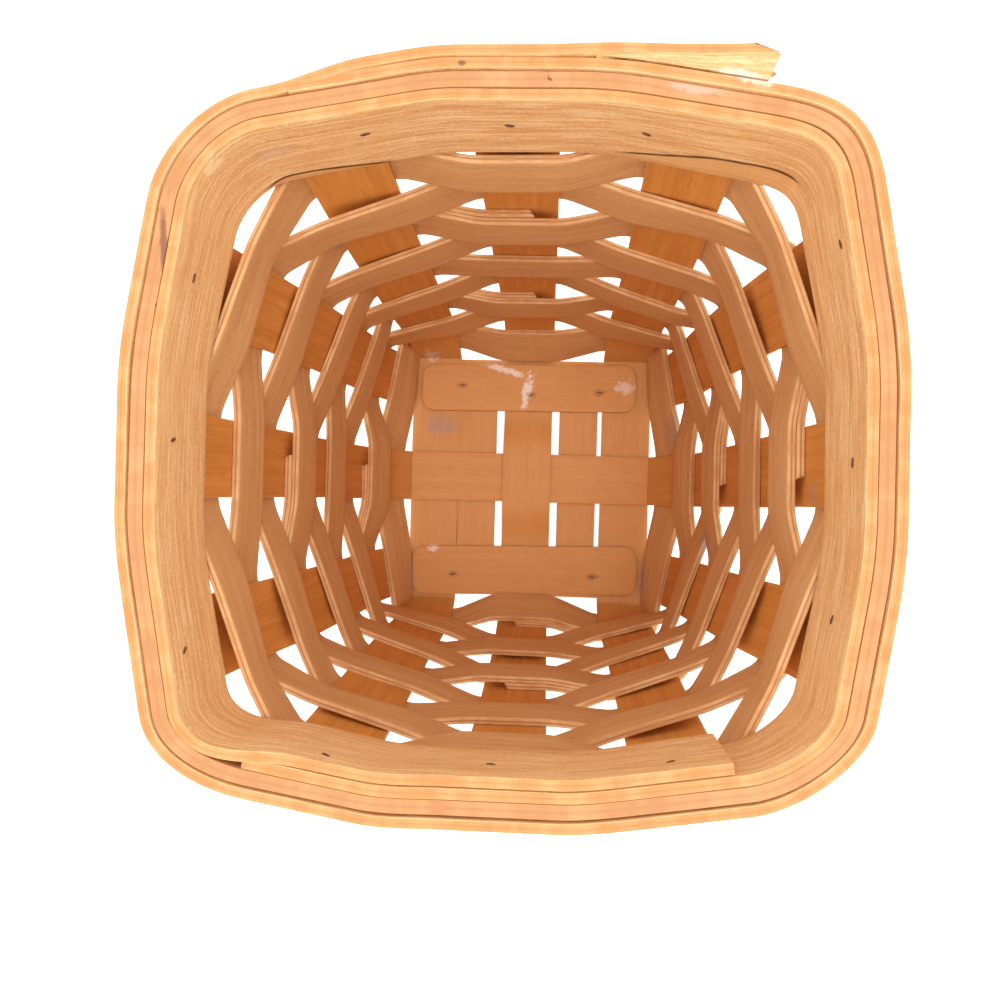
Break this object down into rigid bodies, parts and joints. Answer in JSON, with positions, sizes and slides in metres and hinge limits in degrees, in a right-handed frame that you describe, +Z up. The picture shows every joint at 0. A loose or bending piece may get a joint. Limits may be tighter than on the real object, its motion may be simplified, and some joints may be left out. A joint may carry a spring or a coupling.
{
  "type": "woven splint basket",
  "caption": "Open square basket woven from flat wood splints, with a crossed strip base, flared walls of separate weavers and a lapped double band rim.",
  "frame": {"origin": "middle of the bounding box, on the surface that the basket stands on", "axes": "+Z up out of the mouth, +X to the right wall, +Y to the back wall where the outer rim band laps"},
  "size_m": [0.1562, 0.1544, 0.1924],
  "materials": {
    "stake": "bare splint, darker orange, satin",
    "weaver": "bare splint, tan, satin",
    "band": "bare splint, light tan with open grain, satin",
    "filler": "bare splint, pinkish brown, satin"
  },
  "bodies": {
    "root": {"stake_lengthwise_left": "stake", "stake_lengthwise_middle": "stake", "stake_lengthwise_right": "stake", "stake_cross_front": "stake", "stake_cross_middle": "stake", "stake_cross_back": "stake", "base_filler_left": "stake", "base_filler_right": "stake", "base_cover_back": "stake", "base_cover_front": "stake", "weaver_row_1": "weaver", "weaver_row_2": "weaver", "weaver_row_3": "weaver", "weaver_row_4": "weaver", "weaver_row_5": "weaver", "weaver_row_6": "weaver", "weaver_row_7": "weaver", "weaver_row_8": "weaver", "weaver_row_9": "weaver", "rim_band_inner": "band", "rim_band_outer": "band", "rim_filler": "filler"}
  },
  "joints": []
}
